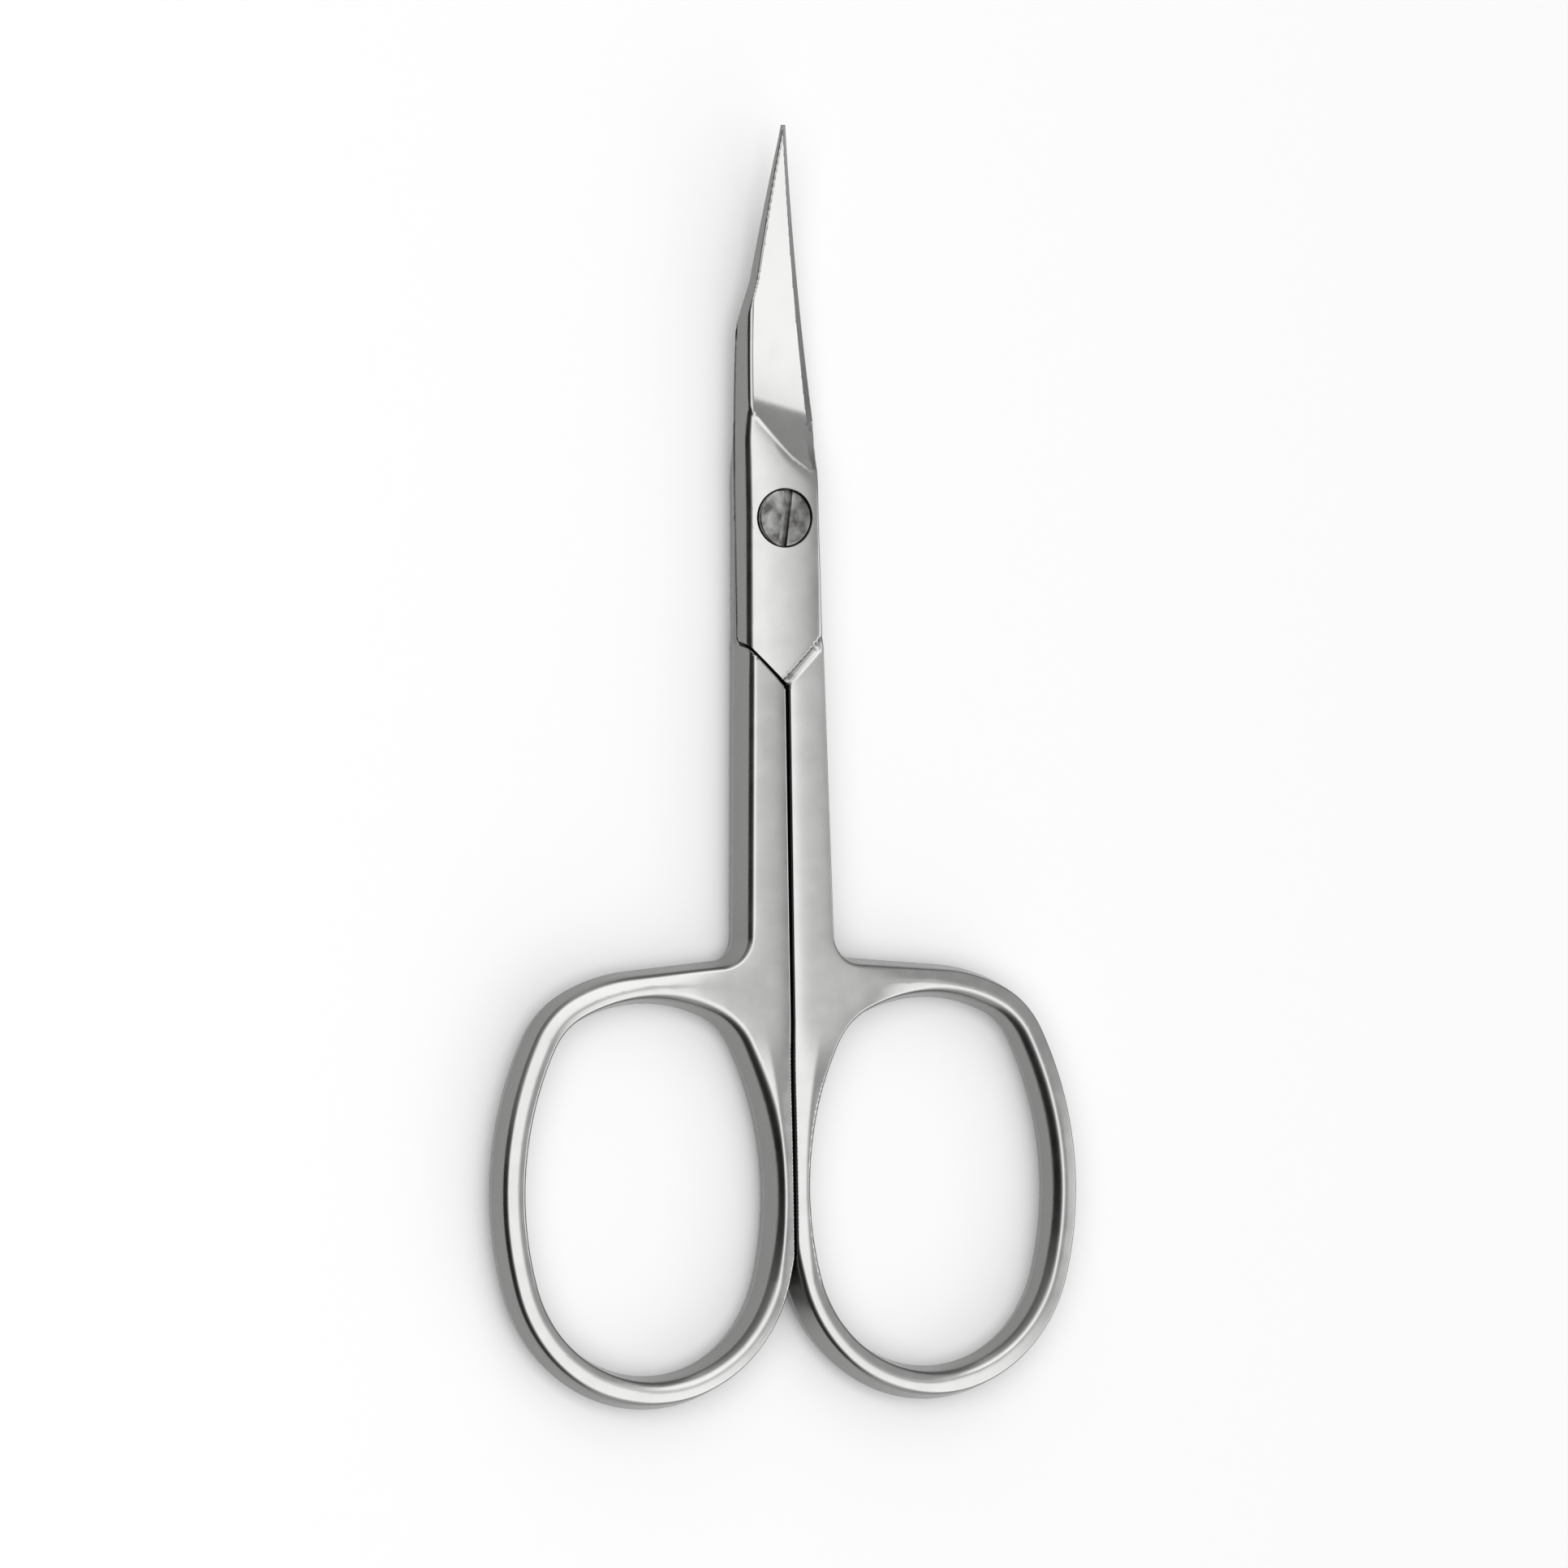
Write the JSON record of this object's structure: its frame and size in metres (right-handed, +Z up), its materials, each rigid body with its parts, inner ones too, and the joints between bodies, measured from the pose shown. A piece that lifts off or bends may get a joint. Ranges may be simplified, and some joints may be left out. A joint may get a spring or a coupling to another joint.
{
  "type": "cuticle scissors",
  "caption": "Slim cuticle scissors: short curved tapered blades lapped at a slotted pivot screw, straight shanks and oval finger rings, in polished stainless steel.",
  "frame": {"origin": "on the pivot axis, at the level of the back faces of shanks and rings, on which the scissors lie", "axes": "+X to the side of the front half's ring, +Y from the pivot to the tips, +Z up to the screw head"},
  "size_m": [0.0454, 0.09, 0.0048],
  "materials": {
    "polished_steel": "mirror polished",
    "screw_steel": "turned and polished"
  },
  "bodies": {
    "rear": {"rear_half": "polished_steel"},
    "front": {"front_half": "polished_steel"},
    "screw": {"pivot_screw": "screw_steel"}
  },
  "joints": [
    {"name": "opening", "type": "hinge", "parent": "rear", "child": "front", "pos_m": [0, 0, 0], "axis": [0, 0, 1], "range_deg": [0, 110]},
    {"name": "screw_turn", "type": "hinge", "parent": "rear", "child": "screw", "pos_m": [0, 0, 0], "axis": [0, 0, 1], "range_deg": [-90, 90]}
  ]
}
